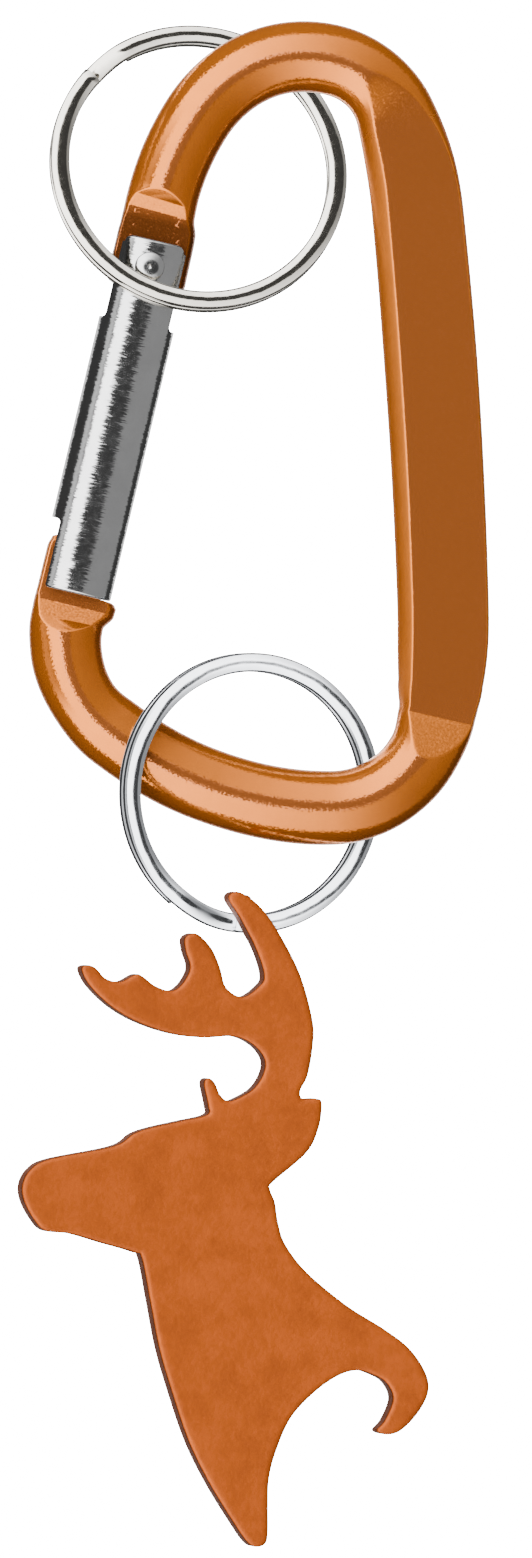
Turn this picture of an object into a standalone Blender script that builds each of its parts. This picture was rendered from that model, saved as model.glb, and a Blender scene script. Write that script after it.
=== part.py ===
"""A hanging keyring: a carabiner with a sprung gate, two split rings and an animal-head bottle opener.

The carabiner lies in the XZ plane and faces -Y. The origin is the highest point inside its bow,
where it hangs. Lengths are in millimetres and angles in degrees; MM turns them into metres.
"""

import math

import bmesh
import bpy
from mathutils import Matrix, Vector

MM = 0.001

# Carabiner rod. Its path starts at the hinge tongue's end and runs clockwise, seen from the front,
# round to the nose.
ROD_RADIUS = 3.45
HINGE_TONGUE_LENGTH = 7.6
NOSE_TONGUE_LENGTH = 7.4
BOW_START = (-13.88, -11.09)
BOW_START_HEADING = 78.4
FRAME_ARCS = (  # radius, turn
    (26.2, 21.0),  # left leg
    (13.5, 24.4),
    (11.5, 50.9),  # bow, left half
    (8.4, 52.1),  # bow, right half
    (37.5, 14.2),
    (520.0, 4.2),  # spine
    (66.0, 8.3),
    (13.6, 16.9),
    (10.1, 66.1),  # lower right corner
    (34.4, 38.6),  # bottom bar
    (10.9, 52.4),  # lower left corner
    (8.5, 12.7),
)
# Sections along the rod: distance from the hinge end, half widths towards the inside and the outside,
# and half thickness of the pressed flats. A half thickness of ROD_RADIUS leaves the rod round.
FRAME_SECTIONS = (
    (0.0, 2.9, 2.9, 1.9),
    (0.8, 3.9, 3.9, 2.1),
    (5.0, 4.0, 4.0, 2.1),
    (6.8, 3.65, 3.65, 2.1),
    (9.8, 3.45, 3.45, 3.45),
    (36.8, 3.43, 3.43, 3.45),
    (40.2, 3.8, 3.8, 3.15),
    (44.2, 4.25, 4.25, 2.6),
    (48.4, 4.4, 4.4, 2.3),
    (64.6, 4.5, 4.5, 2.3),
    (93.0, 4.38, 4.38, 2.3),
    (96.0, 4.1, 4.1, 2.2),
    (99.2, 3.7, 3.7, 2.05),
    (102.9, 3.4, 3.4, 3.45),
    (105.4, 3.35, 3.35, 3.45),
    (136.0, 3.52, 3.52, 3.45),
    (140.0, 3.3, 3.3, 3.45),
    (147.4, 3.5, 3.45, 3.45),
    (149.3, 3.9, 3.4, 2.55),
    (150.2, 3.85, 3.34, 2.1),
    (150.7, 3.6, 3.34, 2.1),
    (151.0, 2.0, 3.34, 2.1),
    (155.1, 2.0, 3.34, 2.1),
    (155.86, 1.5, 2.6, 1.9),
)
MOST_TURN_PER_STATION = 9.0
MOST_STATION_GAP = 5.0
LEAST_STATION_GAP = 0.4
SIDE_POINTS = 7
FLAT_POINTS = 3
WIDEST_CLIP_ANGLE = 66.0

# Gate: a rolled sleeve on the line from the hinge rivet to the nose.
PIVOT = Vector((-14.85, 0.0, -16.72))
GATE_LEAN = 13.3
SLEEVE_RADIUS = 3.68
SLEEVE_WALL = 0.8
SLEEVE_TOP = -2.6
SLEEVE_END = 32.2
SLEEVE_SEGMENTS = 40
BORE_SEGMENTS = 24
SLEEVE_LIP = 0.15
SLOT_HALF_WIDTH = 2.3
SLOT_CORNER_RADIUS = 0.5
SLOT_CORNER_STEPS = 4
HINGE_SLOT_DEPTH = 5.6
NOSE_NOTCH_START = 25.5
RIVET_RADIUS = 0.85
RIVET_CLEARANCE = 0.1
RIVET_HEAD_RADIUS = 1.25
RIVET_HEAD_HEIGHT = 0.38
RIVET_HEAD_GAP = 0.06
RIVET_DIMPLE = (0.2, 0.15)  # radius, depth
PLUNGER_TOP = 2.65
PLUNGER_HEAD_RADIUS = 2.2
PLUNGER_HEAD_LENGTH = 1.6
PLUNGER_STEM_RADIUS = 1.1
PLUNGER_STEM_LENGTH = 4.0
PLUNGER_CHAMFER = 0.25
SPRING_START = 4.75
SPRING_END = 23.2
SPRING_COIL_RADIUS = 1.9
SPRING_WIRE_RADIUS = 0.25
SPRING_TURNS = 10
SPRING_STEPS_PER_TURN = 12
SEAT_START = 23.7
SEAT_THICKNESS = 0.8
SEAT_RADIUS = 2.75

# Split rings: two flat coils joined by a jog. Angles start at the right and run anticlockwise.
UPPER_RING_CENTRE = Vector((-10.195, -0.163, -7.159))
UPPER_RING_NORMAL = Vector((0.1835, -0.9348, 0.3039))
UPPER_RING_RADIUS = 13.6
UPPER_JOG = (119.0, 18.0)
LOWER_RING_CENTRE = Vector((-5.19, -0.17, -67.34))
LOWER_RING_YAW = 23.5
LOWER_RING_RADIUS = 12.6
LOWER_JOG = (-128.0, 30.0)
COIL_HALF_WIDTH = 0.92
COIL_HALF_THICKNESS = 0.42
COIL_CORNER = 0.2
COIL_OFFSET = 0.46
COIL_STEP = 7.5

# Bottle opener: a stamped plate. Its outline starts at the tall tine's tip and runs clockwise, seen
# from the front. It is measured from the middle of the eye that the lower ring passes through.
OPENER_YAW = 12.0
OPENER_THICKNESS = 2.6
OPENER_BACK_GAP = 1.7
OPENER_EDGE = 0.25
OPENER_OUTLINE = (
    (-3.0, 2.5), (-2.0, 3.1), (-0.1, 1.9), (1.7, -0.4), (4.0, -4.7), (5.3, -9.3), (5.3, -11.9), (4.8, -14.6),
    (4.1, -16.0), (4.3, -16.8), (5.7, -16.8), (6.2, -17.3), (5.9, -19.6), (4.7, -22.0), (1.4, -24.8),
    (1.1, -25.5), (1.6, -26.8), (1.9, -28.7), (2.6, -30.8), (4.7, -33.5), (8.6, -36.7), (12.3, -39.0),
    (14.8, -40.9), (16.4, -43.2), (16.7, -45.1), (15.7, -47.1), (14.0, -48.8), (12.6, -49.2), (11.6, -48.8),
    (12.4, -47.8), (13.2, -45.8), (12.6, -44.3), (11.4, -43.5), (9.6, -43.0), (7.6, -43.6), (5.2, -45.3),
    (3.1, -47.6), (1.7, -50.7), (1.0, -53.4), (0.9, -56.2), (0.9, -58.3), (0.7, -59.5), (-0.1, -59.9),
    (-1.1, -59.5), (-2.6, -57.4), (-4.9, -53.7), (-6.9, -49.7), (-8.6, -44.8), (-9.8, -40.7), (-10.7, -36.1),
    (-11.5, -32.1), (-12.2, -31.5), (-15.3, -30.6), (-18.4, -29.7), (-20.9, -29.4), (-22.0, -28.4),
    (-23.0, -26.6), (-23.2, -25.0), (-22.4, -23.5), (-20.5, -22.5), (-14.3, -21.3), (-12.3, -20.1),
    (-10.5, -19.5), (-7.7, -18.9), (-5.1, -18.3), (-5.0, -17.4), (-5.4, -15.3), (-4.9, -14.8), (-4.3, -15.3),
    (-3.8, -16.4), (-3.0, -17.0), (-1.8, -16.6), (-0.4, -15.7), (0.5, -14.2), (0.5, -12.9), (-0.6, -11.6),
    (-2.5, -10.8), (-5.5, -10.9), (-8.6, -10.5), (-11.9, -9.4), (-14.5, -7.9), (-16.6, -5.9), (-17.4, -4.3),
    (-16.8, -3.9), (-16.0, -4.2), (-15.0, -5.2), (-13.6, -5.5), (-12.1, -4.8), (-11.4, -5.0), (-10.2, -5.9),
    (-8.7, -6.4), (-7.7, -5.9), (-6.9, -4.7), (-6.8, -3.8), (-7.2, -2.6), (-7.3, -1.4), (-6.6, -0.9),
    (-5.8, -1.1), (-4.6, -2.4), (-3.8, -4.2), (-3.2, -6.1), (-1.6, -7.0), (0.1, -5.9), (0.5, -4.9),
    (-0.2, -2.6), (-1.8, 0.5),
)  # fmt: skip
OUTLINE_STEPS = 2
EYE_LEAN = 26.0
EYE_RADIUS = 2.45
EYE_WIRE_RADIUS = 0.6

ORANGE = (0.60, 0.17, 0.03)
STEEL = (0.55, 0.55, 0.56)
BRIGHT_STEEL = (0.72, 0.72, 0.73)
NICKEL = (0.66, 0.64, 0.60)


def clear_scene():
    for old in list(bpy.data.objects):
        bpy.data.objects.remove(old, do_unlink=True)


def metal(name, colour, roughness):
    material = bpy.data.materials.new(name)
    material.use_nodes = True
    shader = material.node_tree.nodes["Principled BSDF"]
    shader.inputs["Base Color"].default_value = (*colour, 1.0)
    shader.inputs["Metallic"].default_value = 1.0
    shader.inputs["Roughness"].default_value = roughness
    return material


def add_solid(name, bm, material, placement):
    """Makes an object from a bmesh, with its origin and axes at placement, all in millimetres."""
    bmesh.ops.scale(bm, vec=(MM, MM, MM), verts=bm.verts)
    bmesh.ops.recalc_face_normals(bm, faces=bm.faces)
    mesh = bpy.data.meshes.new(name)
    bm.to_mesh(mesh)
    bm.free()
    mesh.shade_smooth()
    mesh.set_sharp_from_angle(angle=math.radians(35.0))
    solid = bpy.data.objects.new(name, mesh)
    bpy.context.scene.collection.objects.link(solid)
    solid.matrix_world = Matrix.Translation(placement.to_translation() * MM) @ placement.to_3x3().to_4x4()
    if material:
        mesh.materials.append(material)
    return solid


def boolean(target, tool, operation):
    tool.hide_render = True
    tool.display_type = "WIRE"
    modifier = target.modifiers.new(operation.title(), "BOOLEAN")
    modifier.operation = operation
    modifier.solver = "EXACT"
    modifier.object = tool


def skin(bm, rings, closed=False):
    """Joins rings of points into a skin, with its ends closed unless it is closed on itself."""
    loops = [[bm.verts.new(point) for point in ring] for ring in rings]
    pairs = list(zip(loops, loops[1:] + loops[:1])) if closed else list(zip(loops, loops[1:]))
    for first, second in pairs:
        count = len(first)
        for i in range(count):
            j = (i + 1) % count
            bm.faces.new((first[i], first[j], second[j], second[i]))
    if not closed:
        bm.faces.new(loops[0])
        bm.faces.new(reversed(loops[-1]))


def turned(profile, segments):
    """A solid of revolution about Z from (radius, height) points, each with a radius above zero."""
    bm = bmesh.new()
    angles = [2.0 * math.pi * i / segments for i in range(segments)]
    skin(bm, [[Vector((r * math.cos(a), r * math.sin(a), z)) for a in angles] for r, z in profile])
    return bm


def tube_along(points, radius, sides):
    """A round wire through points, with flat ends."""
    bm = bmesh.new()
    rings = []
    normal = (points[1] - points[0]).orthogonal().normalized()
    for i, point in enumerate(points):
        tangent = (points[min(i + 1, len(points) - 1)] - points[max(i - 1, 0)]).normalized()
        normal = (normal - tangent * normal.dot(tangent)).normalized()
        side = tangent.cross(normal)
        angles = [2.0 * math.pi * k / sides for k in range(sides)]
        rings.append([point + radius * (math.cos(a) * normal + math.sin(a) * side) for a in angles])
    skin(bm, rings)
    return bm


def frame_path():
    """Runs along the rod's middle as (distance, x, z, heading) stations, close together where it bends."""
    heading = math.radians(BOW_START_HEADING)
    x = BOW_START[0] - HINGE_TONGUE_LENGTH * math.cos(heading)
    z = BOW_START[1] - HINGE_TONGUE_LENGTH * math.sin(heading)
    stretches = [(HINGE_TONGUE_LENGTH, 0.0)]
    stretches += [(radius * math.radians(turn), math.radians(turn)) for radius, turn in FRAME_ARCS]
    stretches.append((NOSE_TONGUE_LENGTH, 0.0))
    starts = []
    distance = 0.0
    for length, turn in stretches:
        starts.append((distance, length, turn, x, z, heading))
        x, z, heading = along_arc(x, z, heading, length, turn, length)
        distance += length
    stops = {round(section[0], 3) for section in FRAME_SECTIONS if section[0] < distance}
    for start, length, turn, *_ in starts:
        steps = math.ceil(max(math.degrees(turn) / MOST_TURN_PER_STATION, length / MOST_STATION_GAP))
        stops |= {round(start + length * i / steps, 3) for i in range(steps + 1)}
    stations = []
    for stop in thin_out(sorted(stops)):
        start, length, turn, x, z, heading = next(s for s in reversed(starts) if s[0] <= stop + 1e-3)
        stations.append((stop, *along_arc(x, z, heading, length, turn, min(stop - start, length))))
    return stations


def along_arc(x, z, heading, length, turn, distance):
    """The place and heading that are distance along an arc that turns clockwise by turn over length."""
    swept = turn * distance / length
    if abs(turn) < 1e-9:
        return x + distance * math.cos(heading), z + distance * math.sin(heading), heading
    radius = length / turn
    x += radius * (math.sin(heading) - math.sin(heading - swept))
    z += radius * (math.cos(heading - swept) - math.cos(heading))
    return x, z, heading - swept


def thin_out(stops):
    """Drops stops that lie too close to a section's own stop."""
    fixed = {round(section[0], 3) for section in FRAME_SECTIONS}
    return [s for s in stops if s in fixed or all(abs(s - f) > LEAST_STATION_GAP for f in fixed)]


def frame_section(distance):
    """Half widths and half thickness at a distance. Widths ease between sections, flats run straight."""
    for first, second in zip(FRAME_SECTIONS, FRAME_SECTIONS[1:]):
        if distance <= second[0] + 1e-6:
            share = max(0.0, (distance - first[0]) / (second[0] - first[0]))
            eased = share * share * (3.0 - 2.0 * share)
            inner = first[1] + (second[1] - first[1]) * eased
            outer = first[2] + (second[2] - first[2]) * eased
            return inner, outer, first[3] + (second[3] - first[3]) * share
    return FRAME_SECTIONS[-1][1:]


def section_points(inner, outer, half_thickness):
    """The rod's section as (across, depth) points: an ellipse, clipped flat at the half thickness."""
    clip = min(math.radians(WIDEST_CLIP_ANGLE), math.asin(min(1.0, half_thickness / ROD_RADIUS)))
    side = [clip * (2.0 * i / (SIDE_POINTS - 1) - 1.0) for i in range(SIDE_POINTS)]
    flat = [clip + (math.pi - 2.0 * clip) * (i + 1) / (FLAT_POINTS + 1) for i in range(FLAT_POINTS)]
    angles = side + flat + [math.pi + a for a in side] + [math.pi + a for a in flat]
    points = []
    for angle in angles:
        width = inner if math.cos(angle) > 0.0 else outer
        depth = max(-half_thickness, min(half_thickness, ROD_RADIUS * math.sin(angle)))
        points.append((width * math.cos(angle), depth))
    return points


def rod_rings():
    rings = []
    for distance, x, z, heading in frame_path():
        inward = Vector((math.sin(heading), 0.0, -math.cos(heading)))
        centre = Vector((x, 0.0, z))
        section = section_points(*frame_section(distance))
        rings.append([centre + across * inward + Vector((0.0, depth, 0.0)) for across, depth in section])
    return rings


def gate_axes():
    """Placement of the gate: origin on the rivet, local Z along the sleeve to the nose, X inwards."""
    down = Vector((-math.sin(math.radians(GATE_LEAN)), 0.0, -math.cos(math.radians(GATE_LEAN))))
    inward = Vector((-down.z, 0.0, down.x))
    turn = Matrix((inward, down.cross(inward), down)).transposed()
    return Matrix.Translation(PIVOT) @ turn.to_4x4()


def pin_bore(name, radius):
    """Cutter for the hinge rivet's hole, along Y through the pivot."""
    reach = 2.0 * SLEEVE_RADIUS
    bore = turned([(radius, -reach), (radius, reach)], BORE_SEGMENTS)
    bmesh.ops.rotate(bore, matrix=Matrix.Rotation(math.radians(90.0), 3, "X"), verts=bore.verts)
    return add_solid(name, bore, None, Matrix.Translation(PIVOT))


def make_frame(material):
    bm = bmesh.new()
    skin(bm, rod_rings())
    frame = add_solid("carabiner_frame", bm, material, Matrix())
    boolean(frame, pin_bore("frame_bore_cutter", RIVET_RADIUS + RIVET_CLEARANCE), "DIFFERENCE")
    return frame


def sleeve_slot(name, open_end, closed_end, left, right):
    """Cutter for a slot through the sleeve's side walls. The corners at its closed end are rounded."""
    side = math.copysign(1.0, closed_end - open_end)
    centre = closed_end - side * SLOT_CORNER_RADIUS
    outline = [(-SLOT_HALF_WIDTH, open_end), (SLOT_HALF_WIDTH, open_end)]
    for across, first in ((1.0, 0.0), (-1.0, 90.0)):
        for i in range(SLOT_CORNER_STEPS + 1):
            angle = math.radians(first + 90.0 * i / SLOT_CORNER_STEPS)
            y = across * (SLOT_HALF_WIDTH - SLOT_CORNER_RADIUS) + SLOT_CORNER_RADIUS * math.cos(angle)
            outline.append((y, centre + side * SLOT_CORNER_RADIUS * math.sin(angle)))
    bm = bmesh.new()
    skin(bm, [[Vector((x, y, z)) for y, z in outline] for x in (left, right)])
    return add_solid(name, bm, None, gate_axes())


def make_sleeve(material):
    bore = SLEEVE_RADIUS - SLEEVE_WALL
    profile = [
        (bore, SLEEVE_TOP),
        (SLEEVE_RADIUS - SLEEVE_LIP, SLEEVE_TOP),
        (SLEEVE_RADIUS, SLEEVE_TOP + SLEEVE_LIP),
        (SLEEVE_RADIUS, SLEEVE_END - SLEEVE_LIP),
        (SLEEVE_RADIUS - SLEEVE_LIP, SLEEVE_END),
        (bore, SLEEVE_END),
    ]
    bm = bmesh.new()
    angles = [2.0 * math.pi * (i + 0.5) / SLEEVE_SEGMENTS for i in range(SLEEVE_SEGMENTS)]
    rings = [[Vector((r * math.cos(a), r * math.sin(a), z)) for r, z in profile] for a in angles]
    skin(bm, rings, closed=True)
    sleeve = add_solid("gate_sleeve", bm, material, gate_axes())
    reach = 2.0 * SLEEVE_RADIUS
    top = SLEEVE_TOP - SLEEVE_WALL
    end = SLEEVE_END + SLEEVE_WALL
    boolean(sleeve, sleeve_slot("hinge_slot_cutter", top, HINGE_SLOT_DEPTH, -reach, reach), "DIFFERENCE")
    boolean(sleeve, sleeve_slot("nose_notch_cutter", end, NOSE_NOTCH_START, -reach, 0.0), "DIFFERENCE")
    boolean(sleeve, pin_bore("sleeve_bore_cutter", RIVET_RADIUS + RIVET_CLEARANCE), "DIFFERENCE")
    return sleeve


def make_rivet(material):
    under = SLEEVE_RADIUS + RIVET_HEAD_GAP
    head = []
    for angle in (0.0, 30.0, 55.0, 75.0):
        turn = math.radians(angle)
        head.append((RIVET_HEAD_RADIUS * math.cos(turn), under + RIVET_HEAD_HEIGHT * math.sin(turn)))
    dimple = (RIVET_DIMPLE[0], under + RIVET_HEAD_HEIGHT - RIVET_DIMPLE[1])
    profile = [(RIVET_RADIUS, under), *head, dimple]
    profile = [(r, -z) for r, z in reversed(profile)] + profile
    bm = turned(profile, 24)
    across = Matrix.Translation(PIVOT) @ Matrix.Rotation(math.radians(90.0), 4, "X")
    return add_solid("hinge_rivet", bm, material, across)


def make_plunger(material):
    head_end = PLUNGER_TOP + PLUNGER_HEAD_LENGTH
    profile = [
        (PLUNGER_HEAD_RADIUS - PLUNGER_CHAMFER, PLUNGER_TOP),
        (PLUNGER_HEAD_RADIUS, PLUNGER_TOP + PLUNGER_CHAMFER),
        (PLUNGER_HEAD_RADIUS, head_end),
        (PLUNGER_STEM_RADIUS, head_end),
        (PLUNGER_STEM_RADIUS, head_end + PLUNGER_STEM_LENGTH - PLUNGER_CHAMFER),
        (PLUNGER_STEM_RADIUS - PLUNGER_CHAMFER, head_end + PLUNGER_STEM_LENGTH),
    ]
    return add_solid("spring_plunger", turned(profile, 20), material, gate_axes())


def make_spring(material):
    steps = SPRING_TURNS * SPRING_STEPS_PER_TURN
    points = []
    for i in range(steps + 1):
        angle = 2.0 * math.pi * i / SPRING_STEPS_PER_TURN
        height = SPRING_START + (SPRING_END - SPRING_START) * i / steps
        x = SPRING_COIL_RADIUS * math.cos(angle)
        y = SPRING_COIL_RADIUS * math.sin(angle)
        points.append(Vector((x, y, height)))
    return add_solid("gate_spring", tube_along(points, SPRING_WIRE_RADIUS, 6), material, gate_axes())


def make_seat(material):
    profile = [(SEAT_RADIUS, SEAT_START), (SEAT_RADIUS, SEAT_START + SEAT_THICKNESS)]
    return add_solid("spring_seat", turned(profile, 24), material, gate_axes())


def ring_axes(centre, normal):
    """Placement of a ring: local Z along its normal, towards the front, and local Y upwards in its plane."""
    front = normal.normalized()
    right = Vector((0.0, 0.0, 1.0)).cross(front).normalized()
    turn = Matrix((right, front.cross(right), front)).transposed()
    return Matrix.Translation(centre) @ turn.to_4x4()


def coil_section():
    """A flat wire's section with its corners cut, as (outward, forward) points."""
    width = COIL_HALF_WIDTH
    height = COIL_HALF_THICKNESS
    corners = []
    for x, y in ((1, -1), (1, 1), (-1, 1), (-1, -1)):
        near = (x * (width - COIL_CORNER), y * height)
        side = (x * width, y * (height - COIL_CORNER))
        corners += [near, side] if x * y < 0 else [side, near]
    return corners


def make_split_ring(name, centre, normal, radius, jog, material):
    """Front coil, jog to the back, back coil: each coil leaves out the jog's stretch."""
    jog_start, jog_width = jog
    first = jog_start + jog_width
    total = 720.0 - jog_width
    steps = round(total / COIL_STEP)
    rings = []
    for i in range(steps + 1):
        turned_by = total * i / steps
        share = min(1.0, max(0.0, (turned_by - (360.0 - jog_width)) / jog_width))
        forward = COIL_OFFSET * (1.0 - 2.0 * share * share * (3.0 - 2.0 * share))
        angle = math.radians(first + turned_by)
        outward = Vector((math.cos(angle), math.sin(angle), 0.0))
        ring = [outward * (radius + x) + Vector((0.0, 0.0, forward + y)) for x, y in coil_section()]
        rings.append(ring)
    bm = bmesh.new()
    skin(bm, rings)
    return add_solid(name, bm, material, ring_axes(centre, normal))


def lower_ring_normal():
    yaw = math.radians(LOWER_RING_YAW)
    return Vector((math.sin(yaw), -math.cos(yaw), 0.0))


def opener_axes():
    """Placement of the opener: origin in the eye, on the lower ring's lowest point, turned by its yaw."""
    eye = LOWER_RING_CENTRE - Vector((0.0, 0.0, LOWER_RING_RADIUS))
    return Matrix.Translation(eye) @ Matrix.Rotation(math.radians(OPENER_YAW), 4, "Z")


def smooth_outline(corners, steps):
    """A closed Catmull-Rom curve through the corners."""
    points = []
    count = len(corners)
    for i in range(count):
        before, start, end, after = (Vector(corners[(i + k) % count]) for k in (-1, 0, 1, 2))
        for k in range(steps):
            t = k / steps
            ahead = (end - before) * t
            bend = (2.0 * before - 5.0 * start + 4.0 * end - after) * t * t
            twist = (3.0 * start - before - 3.0 * end + after) * t * t * t
            points.append(start + 0.5 * (ahead + bend + twist))
    return points


def inset(outline, distance):
    """The outline moved inwards, for one that runs clockwise."""
    moved = []
    count = len(outline)
    for i, point in enumerate(outline):
        along = (outline[(i + 1) % count] - outline[i - 1]).normalized()
        moved.append(point + distance * Vector((along.y, -along.x)))
    return moved


def make_opener(material):
    outline = smooth_outline(OPENER_OUTLINE, OUTLINE_STEPS)
    rim = inset(outline, OPENER_EDGE)
    back = -OPENER_BACK_GAP
    front = back - OPENER_THICKNESS
    layers = ((rim, front), (outline, front + OPENER_EDGE), (outline, back - OPENER_EDGE), (rim, back))
    bm = bmesh.new()
    skin(bm, [[Vector((p.x, depth, p.y)) for p in shape] for shape, depth in layers])
    bm.normal_update()
    bmesh.ops.triangulate(bm, faces=[face for face in bm.faces if len(face.verts) > 4])
    opener = add_solid("bottle_opener", bm, material, opener_axes())
    boolean(opener, make_eye(), "UNION")
    return opener


def make_eye():
    """The round staple behind the tall tine that holds the lower ring. Its feet end inside the plate."""
    foot = -(OPENER_BACK_GAP + 0.5 * OPENER_THICKNESS)
    arc_steps = 10
    path = [Vector((0.0, foot, EYE_RADIUS)), Vector((0.0, 0.5 * foot, EYE_RADIUS))]
    for i in range(arc_steps + 1):
        angle = math.pi * i / arc_steps
        path.append(Vector((0.0, EYE_RADIUS * math.sin(angle), EYE_RADIUS * math.cos(angle))))
    path += [Vector((0.0, 0.5 * foot, -EYE_RADIUS)), Vector((0.0, foot, -EYE_RADIUS))]
    lean = Matrix.Rotation(math.radians(-EYE_LEAN), 3, "Y")
    bm = tube_along([lean @ point for point in path], EYE_WIRE_RADIUS, 10)
    return add_solid("eye_joiner", bm, None, opener_axes())


def main():
    clear_scene()
    anodised = metal("anodised_orange", ORANGE, 0.38)
    steel = metal("brushed_steel", STEEL, 0.33)
    bright = metal("bright_steel", BRIGHT_STEEL, 0.2)
    nickel = metal("nickel", NICKEL, 0.22)
    make_frame(anodised)
    make_sleeve(steel)
    make_rivet(steel)
    make_plunger(bright)
    make_spring(bright)
    make_seat(bright)
    make_split_ring(
        "upper_split_ring", UPPER_RING_CENTRE, UPPER_RING_NORMAL, UPPER_RING_RADIUS, UPPER_JOG, nickel
    )
    make_split_ring(
        "lower_split_ring", LOWER_RING_CENTRE, lower_ring_normal(), LOWER_RING_RADIUS, LOWER_JOG, bright
    )
    make_opener(metal("matt_orange", ORANGE, 0.5))


main()
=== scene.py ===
"""Looks of a hanging keyring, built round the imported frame: carabiner, gate, split rings and bottle opener.

The carabiner lies in the XZ plane and faces -Y, and the origin is the highest point inside its bow.
Lengths are in millimetres and angles in degrees; MM turns them into Blender's metres.
"""

import math

import bmesh
import bpy
import numpy as np
from mathutils import Matrix, Vector
from mathutils.geometry import delaunay_2d_cdt


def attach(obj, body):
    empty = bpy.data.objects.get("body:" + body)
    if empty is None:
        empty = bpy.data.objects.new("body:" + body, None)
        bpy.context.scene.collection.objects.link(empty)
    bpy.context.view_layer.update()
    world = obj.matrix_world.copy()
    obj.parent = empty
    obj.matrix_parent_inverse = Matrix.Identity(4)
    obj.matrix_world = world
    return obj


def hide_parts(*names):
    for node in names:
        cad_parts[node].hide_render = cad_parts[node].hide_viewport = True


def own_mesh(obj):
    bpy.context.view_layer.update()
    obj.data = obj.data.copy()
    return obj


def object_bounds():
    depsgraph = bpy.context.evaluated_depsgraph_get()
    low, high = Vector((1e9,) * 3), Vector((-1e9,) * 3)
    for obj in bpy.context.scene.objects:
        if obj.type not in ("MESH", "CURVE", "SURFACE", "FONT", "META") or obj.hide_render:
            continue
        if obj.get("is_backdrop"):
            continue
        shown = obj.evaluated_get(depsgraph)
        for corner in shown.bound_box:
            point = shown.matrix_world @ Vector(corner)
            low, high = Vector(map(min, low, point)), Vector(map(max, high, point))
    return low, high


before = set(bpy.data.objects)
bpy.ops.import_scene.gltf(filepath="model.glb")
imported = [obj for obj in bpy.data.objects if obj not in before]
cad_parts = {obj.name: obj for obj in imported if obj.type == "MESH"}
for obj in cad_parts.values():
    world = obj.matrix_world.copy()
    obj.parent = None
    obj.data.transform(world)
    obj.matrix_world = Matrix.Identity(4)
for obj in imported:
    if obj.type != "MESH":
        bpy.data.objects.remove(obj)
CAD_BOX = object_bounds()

MM = 0.001

# Camera: level, looking along +Y, with a lens so long that the picture is almost without perspective.
PICTURE_CENTRE = Vector((-3.66, 0.0, -65.99))
PICTURE_HEIGHT = 150.2
LENS = 400.0
SENSOR = 36.0
NEAR_AND_FAR = (100.0, 20000.0)

# Floor: how far below the object it lies, its radius, and where it starts and ends to fade to white.
FLOOR_DROP = 60.0
FLOOR_RADIUS = 1100.0
FLOOR_FADE = (0.15, 0.75)  # metres from the middle
FLOOR_GLOW = 0.12  # how white the middle is already
FLOOR_COLOUR = (0.9, 0.9, 0.9)

# Light tent: strengths, then angles away from the direction to the camera.
BACKGROUND = 14.0
LEFT_LIGHT = 4.1
RIGHT_LIGHT = 0.4
DIM_LIGHT = 0.09
REAR_LIGHT = 1.2
TENT_SPREAD = (-0.8, 0.75)  # where the tent's light rises, from the right (-1) to the left (1)
TENT_END_RIGHT = 108.0
TENT_END_LEFT = 76.0
TENT_END_BLUR = 3.0
CAMERA_GAP = (11.5, 15.0)
CAMERA_GAP_TURN = 3.5
STRIP_SIDE = (0.8, 0.95)  # a second light stands only this far to the left
STRIP_FALL = (46.0, 50.0, 0.06)  # from, to, share of the light that is left
STRIP_RISE = (53.0, 58.0, 0.16)  # from, to, share that comes back
REAR = (140.0, 152.0)
LAMP_SIZE = 0.8
LAMPS = (  # name, place in metres, tilt, energy
    ("overhead", (0.0, 0.0, 1.0), 0.0, 6.0),
    ("behind", (0.3, 1.0, 0.2), -80.0, 16.0),
)

# Carabiner rod: its path starts at the hinge tongue's end and runs clockwise to the nose.
ROD_RADIUS = 3.45
HINGE_TONGUE_LENGTH = 7.6
NOSE_TONGUE_LENGTH = 7.4
BOW_START = (-13.88, -11.09)
BOW_START_HEADING = 78.4
FRAME_ARCS = (  # radius, turn
    (26.2, 21.0),  # left leg
    (13.5, 24.4),
    (11.5, 50.9),  # bow, left half
    (8.4, 52.1),  # bow, right half
    (37.5, 14.2),
    (520.0, 4.2),  # spine
    (66.0, 8.3),
    (13.6, 16.9),
    (10.1, 66.1),  # lower right corner
    (34.4, 38.6),  # bottom bar
    (10.9, 52.4),  # lower left corner
    (8.5, 12.7),
)
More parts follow.
